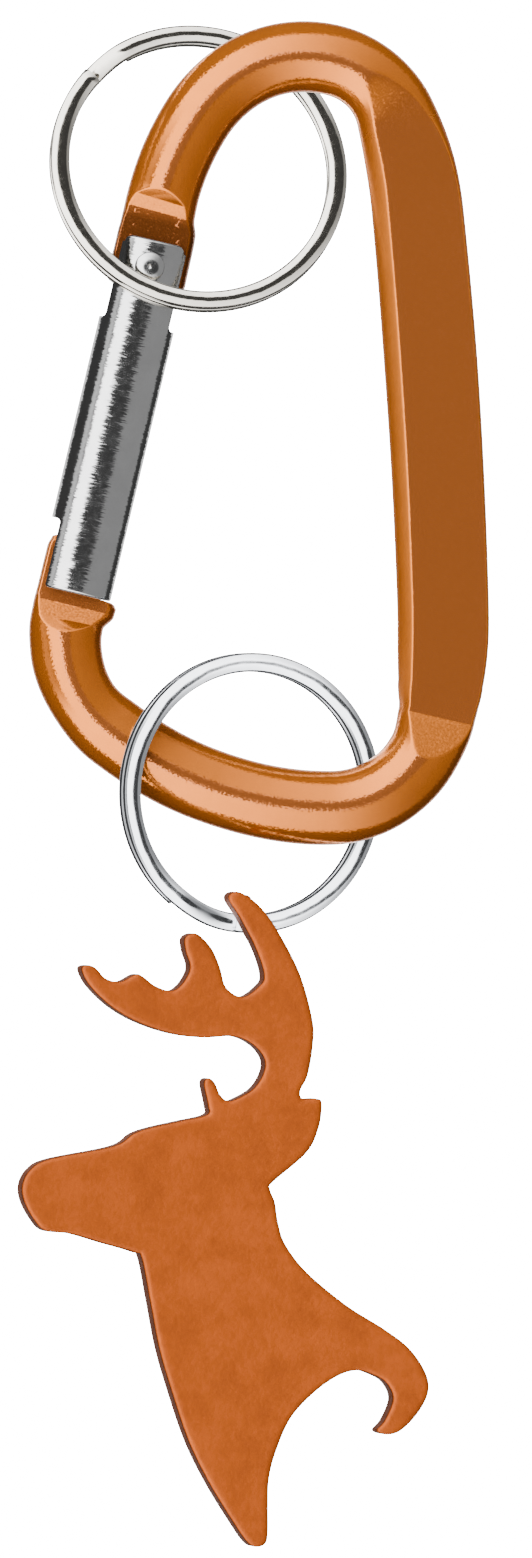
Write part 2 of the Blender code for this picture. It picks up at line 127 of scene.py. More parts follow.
# The rod's section: distance, half width inside and outside, and how square each side is (2 is round).
FRAME_SECTIONS = (
    (-0.4, 2.9, 2.9, 3.0, 3.0),
    (0.1, 3.75, 3.6, 3.0, 3.0),
    (0.8, 3.9, 3.7, 2.4, 3.2),
    (4.8, 3.95, 3.6, 2.4, 3.2),
    (5.6, 3.92, 3.52, 2.4, 3.2),
    (7.3, 3.5, 3.48, 2.0, 2.6),
    (9.8, 3.45, 3.45, 2.0, 2.0),
    (36.8, 3.43, 3.43, 2.0, 2.0),
    (40.2, 3.8, 3.8, 2.2, 2.2),
    (44.2, 4.25, 4.25, 1.9, 3.0),
    (48.4, 4.4, 4.45, 1.85, 3.4),
    (64.6, 4.5, 4.55, 1.85, 3.4),
    (93.0, 4.38, 4.45, 1.85, 3.4),
    (96.0, 4.1, 4.15, 1.9, 3.2),
    (99.2, 3.7, 3.8, 1.95, 2.8),
    (102.9, 3.4, 3.6, 2.0, 2.2),
    (105.4, 3.35, 3.6, 2.0, 2.0),
    (116.0, 3.35, 3.85, 2.0, 2.0),
    (126.0, 3.45, 3.7, 2.0, 2.0),
    (136.0, 3.52, 3.52, 2.0, 2.0),
    (140.0, 3.3, 3.3, 2.0, 2.0),
    (145.6, 3.43, 3.52, 2.0, 2.0),
    (148.2, 3.5, 3.66, 2.0, 2.4),
    (149.7, 4.25, 3.7, 2.1, 2.6),
    (150.4, 4.28, 3.68, 2.2, 3.0),
    (150.75, 4.06, 3.66, 2.2, 3.0),
    (150.92, 3.76, 3.66, 2.2, 3.0),
    (151.01, 3.4, 3.66, 2.2, 3.0),
    (151.04, 2.0, 3.66, 2.6, 3.0),
    (155.0, 2.0, 3.64, 2.6, 3.0),
    (155.9, 1.7, 3.4, 2.6, 3.0),
    (156.3, 1.0, 2.8, 2.6, 3.0),
)
# What the presses leave of the rod: distance, half thickness. Above ROD_RADIUS it stays round.
HINGE_PRESSES = ((-0.4, 1.9), (0.4, 2.1), (7.3, 2.1), (8.4, 2.5), (9.75, 3.7), (10.5, 4.4))
SPINE_PRESSES = ((30.0, 4.6), (35.0, 3.65), (41.0, 2.7), (48.0, 2.32), (96.0, 2.2))
RAMP_PRESSES = ((96.0, 2.2), (99.2, 2.08), (103.4, 3.5), (104.5, 4.0))
NOSE_PRESSES = ((146.5, 4.1), (147.0, 3.7), (148.4, 2.5), (149.8, 2.1), (155.6, 2.1), (156.3, 1.9))
HINGE_PRESSES_END = 20.0
SPINE_PRESSES_END = 96.0
RAMP_PRESSES_END = 125.0
PRESS_EDGE = 0.13  # how rounded a flat's edge is
PRESS_EDGE_LEFT = 0.5  # the share of that which is left right on the edge
PRESS_CLEARANCE = 0.6  # a press this far off the rod doesn't touch it
HINGE_SKEW = 0.06
SPINE_TILT = 4.0
SPINE_TILT_IN = (38.0, 10.0)  # distance where the flat starts to tilt, and over how much
SPINE_TILT_OUT = (103.0, 3.0)
TONGUE_EXTRA = 0.4
NOSE_EXTRA = 0.44
STATION_GAP = 0.35
FINE_GAP = 0.08
FINE_STRETCHES = ((-1.0, 0.8), (7.0, 10.6), (98.8, 104.6), (146.4, 151.4), (155.0, 157.0))
SECTION_POINTS = 176
BLEND = 2.2  # half the length over which a table's corners are smoothed, between these distances
BLEND_START = 14.0
BLEND_END = 96.0

# Gate: a rolled sleeve on the line from the hinge rivet to the nose.
PIVOT = Vector((-14.85, 0.0, -16.72))
GATE_LEAN = 13.3
SLEEVE_RADIUS = 3.68
SLEEVE_WALL = 0.8
SLEEVE_TOP = -2.6
SLEEVE_END = 32.2
SLEEVE_LIP = 0.22
SLEEVE_SQUARENESS = 2.55
SLEEVE_TURN = 4.0
SLEEVE_SEGMENTS = 160
SLEEVE_ROWS = 24
SLEEVE_BEVEL = 0.09
SLOT_HALF_WIDTH = 2.4
SLOT_CORNER_RADIUS = 0.5
HINGE_SLOT_DEPTH = 5.6
NOSE_NOTCH_START = 25.5
NOTCH_HALF_WIDTH = 2.85
CHEEK_CORNER_RADIUS = 0.7
CHEEK_EXTRA = 0.12
CORNER_STEPS = 8
RIVET_RADIUS = 0.85
RIVET_MIDDLE = 0.2
RIVET_HEAD_RADIUS = 1.42
RIVET_HEAD_HEIGHT = 0.34
RIVET_HEAD_GAP = 0.04
RIVET_HEAD_STEPS = 12
RIVET_DOME_POWER = 0.8
RIVET_DIMPLE_RADIUS = 0.26
RIVET_DIMPLE_DEPTH = 0.14
RIVET_DIMPLE_ROWS = (0.85, 0.6, 0.35, 0.12)
AXIS_GAP = 0.05  # a turned piece's end keeps a tiny round face on its axis
PLUNGER_TOP = 2.65
PLUNGER_HEAD_RADIUS = 2.2
PLUNGER_HEAD_LENGTH = 1.6
PLUNGER_STEM_RADIUS = 1.1
PLUNGER_STEM_LENGTH = 4.0
PLUNGER_EDGE = 0.25
PLUNGER_ROUND = 0.07
SPRING_START = 4.75
SPRING_END = 23.2
SPRING_COIL_RADIUS = 1.9
SPRING_WIRE_RADIUS = 0.25
SPRING_TURNS = 10
SPRING_STEPS = 40
SEAT_START = 23.7
SEAT_THICKNESS = 0.8
SEAT_RADIUS = 2.75
SEAT_EDGE = 0.1

# Split rings: two flat coils joined by a jog. Angles start at the right and run anticlockwise.
UPPER_RING_CENTRE = Vector((-10.195, -0.163, -7.159))
UPPER_RING_NORMAL = Vector((0.1835, -0.9348, 0.3039))
UPPER_RING_RADIUS = 13.6
UPPER_JOG = (119.0, 18.0)
LOWER_RING_CENTRE = Vector((-5.19, -0.17, -67.34))
LOWER_RING_YAW = 23.5
LOWER_RING_RADIUS = 12.6
LOWER_JOG = (-128.0, 30.0)
COIL_HALF_WIDTH = 0.92
COIL_HALF_THICKNESS = 0.43
COIL_SQUARENESS = 2.3
COIL_OFFSET = 0.46
COIL_STEP = 2.5
COIL_POINTS = 28
COIL_END_SCALE = 0.9
COIL_END_LENGTH = 0.08

# Bottle opener: its outline starts at the tall tine's tip and runs clockwise, measured from its eye.
OPENER_YAW = 12.0
OPENER_THICKNESS = 2.6
OPENER_BACK_GAP = 1.7
OPENER_OUTLINE = (
    (-3.0, 2.5), (-2.0, 3.1), (-0.1, 1.9), (1.7, -0.4), (4.0, -4.7), (5.3, -9.3), (5.3, -11.9), (4.8, -14.6),
    (4.1, -16.0), (4.3, -16.8), (5.7, -16.8), (6.2, -17.3), (5.9, -19.6), (4.7, -22.0), (1.4, -24.8),
    (1.1, -25.5), (1.6, -26.8), (1.9, -28.7), (2.6, -30.8), (4.7, -33.5), (8.6, -36.7), (12.3, -39.0),
    (14.8, -40.9), (16.4, -43.2), (16.7, -45.1), (15.7, -47.1), (14.0, -48.8), (12.6, -49.2), (11.6, -48.8),
    (12.4, -47.8), (13.2, -45.8), (12.6, -44.3), (11.4, -43.5), (9.6, -43.0), (7.6, -43.6), (5.2, -45.3),
    (3.1, -47.6), (1.7, -50.7), (1.0, -53.4), (0.9, -56.2), (0.9, -58.3), (0.7, -59.5), (-0.1, -59.9),
    (-1.1, -59.5), (-2.6, -57.4), (-4.9, -53.7), (-6.9, -49.7), (-8.6, -44.8), (-9.8, -40.7), (-10.7, -36.1),
    (-11.5, -32.1), (-12.2, -31.5), (-15.3, -30.6), (-18.4, -29.7), (-20.9, -29.4), (-22.0, -28.4),
    (-23.0, -26.6), (-23.2, -25.0), (-22.4, -23.5), (-20.5, -22.5), (-14.3, -21.3), (-12.3, -20.1),
    (-10.5, -19.5), (-7.7, -18.9), (-5.1, -18.3), (-5.0, -17.4), (-5.4, -15.3), (-4.9, -14.8), (-4.3, -15.3),
    (-3.8, -16.4), (-3.0, -17.0), (-1.8, -16.6), (-0.4, -15.7), (0.5, -14.2), (0.5, -12.9), (-0.6, -11.6),
    (-2.5, -10.8), (-5.5, -10.9), (-8.6, -10.5), (-11.9, -9.4), (-14.5, -7.9), (-16.6, -5.9), (-17.4, -4.3),
    (-16.8, -3.9), (-16.0, -4.2), (-15.0, -5.2), (-13.6, -5.5), (-12.1, -4.8), (-11.4, -5.0), (-10.2, -5.9),
    (-8.7, -6.4), (-7.7, -5.9), (-6.9, -4.7), (-6.8, -3.8), (-7.2, -2.6), (-7.3, -1.4), (-6.6, -0.9),
    (-5.8, -1.1), (-4.6, -2.4), (-3.8, -4.2), (-3.2, -6.1), (-1.6, -7.0), (0.1, -5.9), (0.5, -4.9),
    (-0.2, -2.6), (-1.8, 0.5),
)  # fmt: skip
OUTLINE_STEPS = 8
FRONT_ROLL = (0.55, 0.3)  # how far in and how deep the stamped edge is rolled
BACK_ROLL = (0.2, 0.12)
ROLL_POWER = 2.4
ROLL_ROWS = (0.08, 0.22, 0.42, 0.68, 1.0, 1.35)  # rows of points, as shares of how far in the edge is rolled
ROW_NEARNESS = 0.985  # a row's point this much nearer to the outline is left out
GRID_CLEARANCE = 0.3
PLATE_GRID = 1.3
WALL_ROWS = 6
EYE_LEAN = 26.0
EYE_RADIUS = 2.45
EYE_WIRE_RADIUS = 0.6
EYE_FOOT_STEPS = 4
EYE_BEND_STEPS = 32

SHARP_ANGLE = 40.0
PLATE_SHARP_ANGLE = 50.0
BEVEL_ANGLE = 50.0

ORANGE = (0.77, 0.25, 0.056)
# Painted shade tint: a duller, bluer orange for the rod where it faces the camera and mirrors the dark around
# it.
SHADE_TINT_ORANGE = (0.72, 0.25, 0.084)
OPENER_ORANGE = (0.56, 0.138, 0.03)
STEEL = (0.7, 0.7, 0.7)
INNER_STEEL = (0.66, 0.66, 0.67)
NICKEL = (0.80, 0.765, 0.70)
BRIGHT = (0.84, 0.86, 0.90)
SPECKED_SHADE = 0.5  # how dark the stretch with specks is
SPECKS_FADE = 1.5  # the lengths over which the specks and the scuff fade
SCUFF_FADES = (10.0, 4.0)


# ---------------------------------------------------------------- mesh helpers


def grid_faces(rows, count, closed=False):
    """Faces that join rows of points, count in each. Rows that don't close are capped at both ends."""
    faces = []
    for i in range(rows if closed else rows - 1):
        a, b = i * count, ((i + 1) % rows) * count
        for j in range(count):
            k = (j + 1) % count
            faces.append((a + j, a + k, b + k, b + j))
    if not closed:
        faces.append(tuple(range(count)))
        faces.append(tuple(range((rows - 1) * count, rows * count))[::-1])
    return faces


def finish_piece(name, bm, material, body, placement=None, replaces=(), sharp=SHARP_ANGLE):
    """Turns a mesh in millimetres into a smooth piece, facing outwards, that rides on a body."""
    bmesh.ops.scale(bm, vec=(MM, MM, MM), verts=bm.verts)
    bmesh.ops.recalc_face_normals(bm, faces=bm.faces)
    mesh = bpy.data.meshes.new(name)
    bm.to_mesh(mesh)
    bm.free()
    mesh.shade_smooth()
    mesh.set_sharp_from_angle(angle=math.radians(sharp))
    piece = bpy.data.objects.new(name, mesh)
    bpy.context.scene.collection.objects.link(piece)
    if placement:
        piece.matrix_world = Matrix.Translation(placement.to_translation() * MM) @ placement.to_3x3().to_4x4()
    if material:
        mesh.materials.append(material)
    if body:
        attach(piece, body)
    if replaces:
        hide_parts(*replaces)
    return piece


def turned(profile, segments):
    """Rings of a solid of revolution about Z from (radius, height) points."""
    angles = [2.0 * math.pi * i / segments for i in range(segments)]
    return [[Vector((r * math.cos(a), r * math.sin(a), z)) for a in angles] for r, z in profile]


def tube_along(points, radius, sides):
    """Rings of a round wire through points."""
    rings = []
    normal = (points[1] - points[0]).orthogonal().normalized()
    for i, point in enumerate(points):
        tangent = (points[min(i + 1, len(points) - 1)] - points[max(i - 1, 0)]).normalized()
        normal = (normal - tangent * normal.dot(tangent)).normalized()
        side = tangent.cross(normal)
        angles = [2.0 * math.pi * k / sides for k in range(sides)]
        rings.append([point + radius * (math.cos(a) * normal + math.sin(a) * side) for a in angles])
    return rings


def add_rings(name, rings, material, body, placement=None, replaces=()):
    """Makes a capped piece through rings of points, with a UV in millimetres along and round it."""
    count = len(rings[0])
    points = np.array([[tuple(p) for p in ring] for ring in rings], float)
    along = np.concatenate(([0.0], np.cumsum(np.linalg.norm(np.diff(points.mean(1), axis=0), axis=1))))
    gap = np.linalg.norm(np.roll(points, -1, axis=1) - points, axis=2).sum(1).max() / count
    bm = bmesh.new()
    made = [bm.verts.new(v) for v in points.reshape(-1, 3)]
    layer = bm.loops.layers.uv.new("surface")
    for corners in grid_faces(len(rings), count):
        face = bm.faces.new([made[i] for i in corners])
        if len(corners) != 4:
            continue
        columns = [i % count for i in corners]
        wraps = max(columns) - min(columns) > 1
        for loop, i, column in zip(face.loops, corners, columns):
            loop[layer].uv = (along[i // count], (count if wraps and column == 0 else column) * gap)
    return finish_piece(name, bm, material, body, placement, replaces)


def applied(target):
    """Makes a piece's modifiers part of its mesh."""
    graph = bpy.context.evaluated_depsgraph_get()
    mesh = bpy.data.meshes.new_from_object(target.evaluated_get(graph))
    target.modifiers.clear()
    target.data = mesh


def cut(target, tool):
    """Cuts a tool out of a piece and removes the tool."""
    modifier = target.modifiers.new("cut", "BOOLEAN")
    modifier.operation = "DIFFERENCE"
    modifier.solver = "EXACT"
    modifier.object = tool
    applied(target)
    bpy.data.objects.remove(tool, do_unlink=True)


def smooth_share(share):
    """A share from 0 to 1 that starts and ends gently."""
    return share * share * (3.0 - 2.0 * share)


def eased(table, distance, smooth):
    """Values at a distance between a table's rows, eased or straight."""
    for first, second in zip(table, table[1:]):
        if distance <= second[0] + 1e-6:
            share = max(0.0, (distance - first[0]) / (second[0] - first[0]))
            if smooth:
                share = smooth_share(share)
            return [a + (b - a) * share for a, b in zip(first[1:], second[1:])]
    return list(table[-1][1:])


# ---------------------------------------------------------------- carabiner frame


def along_arc(x, z, heading, length, turn, distance):
    """The place and heading that are distance along an arc that turns clockwise by turn over length."""
    if abs(turn) < 1e-9:
        return x + distance * math.cos(heading), z + distance * math.sin(heading), heading
    swept = turn * distance / length
    radius = length / turn
    x += radius * (math.sin(heading) - math.sin(heading - swept))
    z += radius * (math.cos(heading - swept) - math.cos(heading))
    return x, z, heading - swept


def frame_path():
    """Stations along the rod's middle, (distance, x, z, heading), closer together where it changes fast."""
    heading = math.radians(BOW_START_HEADING)
    back = HINGE_TONGUE_LENGTH + TONGUE_EXTRA
    x = BOW_START[0] - back * math.cos(heading)
    z = BOW_START[1] - back * math.sin(heading)
    stretches = [(back, 0.0)]
    stretches += [(radius * math.radians(turn), math.radians(turn)) for radius, turn in FRAME_ARCS]
    stretches.append((NOSE_TONGUE_LENGTH + NOSE_EXTRA, 0.0))
    stations = []
    start = -TONGUE_EXTRA
    for length, turn in stretches:
        distance = 0.0
        while distance < length - 0.5 * FINE_GAP:
            stations.append((start + distance, *along_arc(x, z, heading, length, turn, distance)))
            fine = any(low <= start + distance < high for low, high in FINE_STRETCHES)
            distance += FINE_GAP if fine else STATION_GAP
        x, z, heading = along_arc(x, z, heading, length, turn, length)
        start += length
    stations.append((start, x, z, heading))
    return stations


def squared_circle(radius, angle, power):
    """A point on a circle whose sides are a little flattened."""
    c, s = math.cos(angle), math.sin(angle)
    reach = radius / (abs(c) ** power + abs(s) ** power) ** (1.0 / power)
    return reach * c, reach * s


def soft_least(a, b, blend):
    """The lesser of two values, with a rounded corner where they cross."""
    return 0.5 * (a + b - math.sqrt((a - b) ** 2 + blend * blend))


def blended(table, distance):
    """Values at a distance along a table's straight runs, with their corners smoothed."""
    nearby = [eased(table, distance + BLEND * k, False) for k in (-1.0, -0.67, -0.33, 0.0, 0.33, 0.67, 1.0)]
    return [sum(values) / len(nearby) for values in zip(*nearby)]


def press_at(distance, across):
    """Half thickness that the presses leave at a place on the rod."""
    slope = math.tan(math.radians(SPINE_TILT))
    if distance < HINGE_PRESSES_END:
        return eased(HINGE_PRESSES, distance + HINGE_SKEW * across, False)[0]
    if distance < SPINE_PRESSES_END:
        start, run = SPINE_TILT_IN
        slope *= min(1.0, max(0.0, (distance - start) / run))
        return blended(SPINE_PRESSES, distance)[0] + slope * across
    if distance < RAMP_PRESSES_END:
        end, run = SPINE_TILT_OUT
        slope *= min(1.0, max(0.0, (end - distance) / run))
        return eased(RAMP_PRESSES, distance, False)[0] + slope * across
    return eased(NOSE_PRESSES, distance, False)[0]


def rod_section(distance):
    """The rod's section as (across, depth) points: pressed flat, with a rounded edge to each flat."""
    if BLEND_START < distance < BLEND_END:
        inner, outer, inner_power, outer_power = blended(FRAME_SECTIONS, distance)
    else:
        inner, outer, inner_power, outer_power = eased(FRAME_SECTIONS, distance, True)
    points = []
    for i in range(SECTION_POINTS):
        angle = 2.0 * math.pi * (i + 0.5) / SECTION_POINTS
        power = inner_power if math.cos(angle) > 0.0 else outer_power
        across, depth = squared_circle(1.0, angle, power)
        across *= inner if across > 0.0 else outer
        thickness = abs(ROD_RADIUS * depth)
        press = press_at(distance, across)
        edge = PRESS_EDGE * min(1.0, abs(thickness - press) + PRESS_EDGE_LEFT)
        if press < ROD_RADIUS + PRESS_CLEARANCE:
            thickness = soft_least(thickness, press, edge)
        points.append((across, math.copysign(max(thickness, 0.0), depth)))
    return points


def make_frame(material):
    """The bent rod, as one run of sections."""
    rings = []
    for distance, x, z, heading in frame_path():
        inward = Vector((math.sin(heading), 0.0, -math.cos(heading)))
        centre = Vector((x, 0.0, z))
        rings.append([centre + a * inward + Vector((0.0, d, 0.0)) for a, d in rod_section(distance)])
    rod = add_rings("rod", rings, material, "frame", replaces=["carabiner_frame"])
    rod.visible_glossy = False


# ---------------------------------------------------------------- gate


def gate_axes():
    """Placement of the gate: origin on the rivet, local Z along the sleeve to the nose, X inwards."""
    down = Vector((-math.sin(math.radians(GATE_LEAN)), 0.0, -math.cos(math.radians(GATE_LEAN))))
    inward = Vector((-down.z, 0.0, down.x))
    turn = Matrix((inward, down.cross(inward), down)).transposed()
    return Matrix.Translation(PIVOT) @ turn.to_4x4()


def prism(outline, axis, low, high):
    """A cutter: an outline of (a, z) points carried along local X or Y."""
    bm = bmesh.new()
    loops = []
    for reach in (low, high):
        points = [Vector((reach, a, z)) if axis == "X" else Vector((a, reach, z)) for a, z in outline]
        loops.append([bm.verts.new(p) for p in points])
    count = len(outline)
    for i in range(count):
        j = (i + 1) % count
        bm.faces.new((loops[0][i], loops[0][j], loops[1][j], loops[1][i]))
    bm.faces.new(loops[0])
    bm.faces.new(loops[1][::-1])
    return finish_piece("cutter", bm, None, None, gate_axes())


def slot_outline(open_end, closed_end, half_width, corner):
    """A slot with two rounded corners at its closed end."""
    side = math.copysign(1.0, closed_end - open_end)
    outline = [(-half_width, open_end), (half_width, open_end)]
    for across, first in ((1.0, 0.0), (-1.0, 90.0)):
        for i in range(CORNER_STEPS + 1):
            angle = math.radians(first + 90.0 * i / CORNER_STEPS)
            a = across * (half_width - corner) + corner * math.cos(angle)
            outline.append((a, closed_end - side * corner + side * corner * math.sin(angle)))
    return outline


def cheek_corner(side):
    """What to cut away to round a cheek's top corner."""
    edge = math.sqrt(SLEEVE_RADIUS**2 - SLOT_HALF_WIDTH**2) + CHEEK_EXTRA
    radius = CHEEK_CORNER_RADIUS
    outside, above = edge + 1.5, SLEEVE_TOP - 1.0
    outline = [(outside, above), (outside, SLEEVE_TOP + radius)]
    for i in range(CORNER_STEPS + 1):
        angle = math.radians(90.0 * i / CORNER_STEPS)
        across = edge - radius + radius * math.cos(angle)
        outline.append((across, SLEEVE_TOP + radius - radius * math.sin(angle)))
    outline.append((edge - radius, above))
    return [(side * a, z) for a, z in outline]


def sleeve_profile():
    """The sleeve's outside as (inset, height) points, with a rolled lip at both ends."""
    turns = [math.radians(15.0 * i) for i in range(7)]
    lip = [(SLEEVE_LIP * (1.0 - math.sin(t)), SLEEVE_LIP * (1.0 - math.cos(t))) for t in turns]
    length = SLEEVE_END - SLEEVE_TOP - 2.0 * SLEEVE_LIP
    profile = [(SLEEVE_WALL, SLEEVE_TOP)]
    profile += [(inset, SLEEVE_TOP + height) for inset, height in lip]
    profile += [(0.0, SLEEVE_TOP + SLEEVE_LIP + length * i / SLEEVE_ROWS) for i in range(1, SLEEVE_ROWS)]
    profile += [(inset, SLEEVE_END - height) for inset, height in reversed(lip)]
    return [*profile, (SLEEVE_WALL, SLEEVE_END)]


def make_sleeve(material):
    """The rolled sleeve, with its slot, notch and rounded corners cut out and every edge broken."""
    profile = sleeve_profile()
    turn = Matrix.Rotation(math.radians(-SLEEVE_TURN), 3, "Z")
    bm = bmesh.new()
    made = []
    for i in range(SLEEVE_SEGMENTS):
        angle = 2.0 * math.pi * (i + 0.5) / SLEEVE_SEGMENTS
        for inset, z in profile:
            x, y = squared_circle(SLEEVE_RADIUS - inset, angle, SLEEVE_SQUARENESS)
            made.append(bm.verts.new(turn @ Vector((x, y, z))))
    for corners in grid_faces(SLEEVE_SEGMENTS, len(profile), closed=True):
        bm.faces.new([made[i] for i in corners])
    sleeve = finish_piece("gate_tube", bm, None, None, gate_axes())
    reach = 2.0 * SLEEVE_RADIUS
    start, end = SLEEVE_TOP - SLEEVE_WALL, SLEEVE_END + SLEEVE_WALL
    slot = slot_outline(start, HINGE_SLOT_DEPTH, SLOT_HALF_WIDTH, SLOT_CORNER_RADIUS)
    notch = slot_outline(end, NOSE_NOTCH_START, NOTCH_HALF_WIDTH, SLOT_CORNER_RADIUS)
    cut(sleeve, prism(slot, "X", -reach, reach))
    cut(sleeve, prism(notch, "X", -reach, 0.0))
    for side in (-1.0, 1.0):
        cut(sleeve, prism(cheek_corner(side), "Y", -reach, reach))
    edges = sleeve.modifiers.new("edges", "BEVEL")
    edges.width = SLEEVE_BEVEL * MM
    edges.segments = 2
    edges.limit_method = "ANGLE"
    edges.angle_limit = math.radians(BEVEL_ANGLE)
    applied(sleeve)
    sleeve.data.shade_smooth()
    sleeve.data.set_sharp_from_angle(angle=math.radians(SHARP_ANGLE))
    sleeve.data.materials.clear()
    sleeve.data.materials.append(material)
    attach(sleeve, "gate")
    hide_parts("gate_sleeve")


def make_rivet(material):
    """The rivet, with a low domed head and a punched dimple at each end."""
    under = SLEEVE_RADIUS + RIVET_HEAD_GAP
    head = []
    for i in range(RIVET_HEAD_STEPS + 1):
        angle = math.radians(90.0 * i / RIVET_HEAD_STEPS)
        radius = RIVET_DIMPLE_RADIUS + (RIVET_HEAD_RADIUS - RIVET_DIMPLE_RADIUS) * math.cos(angle)
        head.append((radius, under + RIVET_HEAD_HEIGHT * math.sin(angle) ** RIVET_DOME_POWER))
    top = under + RIVET_HEAD_HEIGHT
    rows = RIVET_DIMPLE_ROWS
    dimple = [(RIVET_DIMPLE_RADIUS * s, top - RIVET_DIMPLE_DEPTH * (1.0 - s * s)) for s in rows]
    half = [(RIVET_RADIUS, RIVET_MIDDLE), (RIVET_RADIUS, under), *head, *dimple]
    profile = [(r, -z) for r, z in reversed(half)] + half
    across = Matrix.Translation(PIVOT) @ Matrix.Rotation(math.radians(90.0), 4, "X")
    add_rings("rivet", turned(profile, 64), material, "gate", across, ["hinge_rivet"])


def make_plunger(material):
    """The plunger that presses on the hinge tongue: a headed pin with broken edges."""
    head_end = PLUNGER_TOP + PLUNGER_HEAD_LENGTH
    stem_end = head_end + PLUNGER_STEM_LENGTH
    profile = [
        (AXIS_GAP, PLUNGER_TOP),
        (PLUNGER_HEAD_RADIUS - PLUNGER_EDGE, PLUNGER_TOP),
        (PLUNGER_HEAD_RADIUS - PLUNGER_ROUND, PLUNGER_TOP + PLUNGER_ROUND),
        (PLUNGER_HEAD_RADIUS, PLUNGER_TOP + PLUNGER_EDGE),
        (PLUNGER_HEAD_RADIUS, head_end),
        (PLUNGER_STEM_RADIUS, head_end),
        (PLUNGER_STEM_RADIUS, stem_end - PLUNGER_EDGE),
        (PLUNGER_STEM_RADIUS - PLUNGER_EDGE, stem_end),
    ]
    rings = turned(profile, 48)
    add_rings("plunger", rings, material, "plunger", gate_axes(), ["spring_plunger"])


def make_spring(material):
    """The coil spring inside the sleeve, built at one fixed length; the real spring shortens as the gate
    opens.
    """
    steps = SPRING_TURNS * SPRING_STEPS
    points = []
    for i in range(steps + 1):
        angle = 2.0 * math.pi * i / SPRING_STEPS
        height = SPRING_START + (SPRING_END - SPRING_START) * i / steps
        x, y = SPRING_COIL_RADIUS * math.cos(angle), SPRING_COIL_RADIUS * math.sin(angle)
        points.append(Vector((x, y, height)))
    rings = tube_along(points, SPRING_WIRE_RADIUS, 12)
    spring = add_rings("spring", rings, material, "gate", gate_axes(), ["gate_spring"])
    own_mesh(spring)


def make_seat(material):
    """The plug that the spring stands on."""
    end = SEAT_START + SEAT_THICKNESS
    profile = [(AXIS_GAP, SEAT_START), (SEAT_RADIUS - SEAT_EDGE, SEAT_START)]
    profile += [(SEAT_RADIUS, SEAT_START + SEAT_EDGE), (SEAT_RADIUS, end), (AXIS_GAP, end)]
    add_rings("seat", turned(profile, 64), material, "gate", gate_axes(), ["spring_seat"])


# ---------------------------------------------------------------- split rings


def ring_axes(centre, normal):
    """Placement of a ring: local Z along its normal, towards the front, and local Y upwards in its plane."""
    front = normal.normalized()
    right = Vector((0.0, 0.0, 1.0)).cross(front).normalized()
    turn = Matrix((right, front.cross(right), front)).transposed()
    return Matrix.Translation(centre) @ turn.to_4x4()


def coil_section(scale):
    """A rolled flat wire's section: a rectangle with well-rounded sides, as (outward, forward) points."""
    points = []
    for i in range(COIL_POINTS):
        angle = 2.0 * math.pi * (i + 0.5) / COIL_POINTS
        x, y = squared_circle(1.0, angle, COIL_SQUARENESS)
        points.append((COIL_HALF_WIDTH * x * scale, COIL_HALF_THICKNESS * y * scale))
    return points


def make_split_ring(name, centre, normal, radius, jog, material, body, node):
    """Front coil, jog to the back, back coil. Both coils stop at the jog, so their ends show there."""
    jog_start, jog_width = jog
    first = jog_start + jog_width
    total = 720.0 - jog_width
    steps = round(total / COIL_STEP)
    rings = []
    for i in range(-1, steps + 2):
        turned_by = total * min(max(i, 0), steps) / steps
        at_end = i in (-1, steps + 1)
        scale = COIL_END_SCALE if at_end else 1.0
        push = math.degrees(math.copysign(COIL_END_LENGTH, i) / radius) if at_end else 0.0
        share = min(1.0, max(0.0, (turned_by - (360.0 - jog_width)) / jog_width))
        forward = COIL_OFFSET * (1.0 - 2.0 * smooth_share(share))
        angle = math.radians(first + turned_by + push)
        outward = Vector((math.cos(angle), math.sin(angle), 0.0))
        section = coil_section(scale)
        rings.append([outward * (radius + x) + Vector((0.0, 0.0, forward + y)) for x, y in section])
    add_rings(name, rings, material, body, ring_axes(centre, normal), [node])


# ---------------------------------------------------------------- bottle opener


def opener_axes():
    """Placement of the opener: origin in the eye, at the lower ring's lowest point, turned by its yaw."""
    eye = LOWER_RING_CENTRE - Vector((0.0, 0.0, LOWER_RING_RADIUS))
    return Matrix.Translation(eye) @ Matrix.Rotation(math.radians(OPENER_YAW), 4, "Z")


def smooth_outline(corners, steps):
    """A closed Catmull-Rom curve through the corners, as an array of points."""
    points = []
    count = len(corners)
    for i in range(count):
        before, start, end, after = (np.array(corners[(i + k) % count]) for k in (-1, 0, 1, 2))
        for k in range(steps):
            t = k / steps
            ahead = (end - before) * t
            bend = (2.0 * before - 5.0 * start + 4.0 * end - after) * t * t
            twist = (3.0 * start - before - 3.0 * end + after) * t * t * t
            points.append(start + 0.5 * (ahead + bend + twist))
    return np.array(points)


def distance_to(outline, points):
    """How far each point is from the outline, and whether it is inside."""
    a = outline
    b = np.roll(outline, -1, axis=0)
    step = b - a
    reach = points[:, None, :] - a[None, :, :]
    share = np.clip((reach * step).sum(2) / (step * step).sum(1), 0.0, 1.0)
    gap = np.linalg.norm(reach - share[..., None] * step, axis=2).min(1)
    above = (a[None, :, 1] > points[:, None, 1]) != (b[None, :, 1] > points[:, None, 1])
    rise = np.where(np.abs(step[:, 1]) < 1e-12, 1e-12, step[:, 1])
    crossing = a[:, 0] + (points[:, None, 1] - a[:, 1]) * step[:, 0] / rise
    inside = (above & (points[:, None, 0] < crossing)).sum(1) % 2 == 1
    return gap, inside


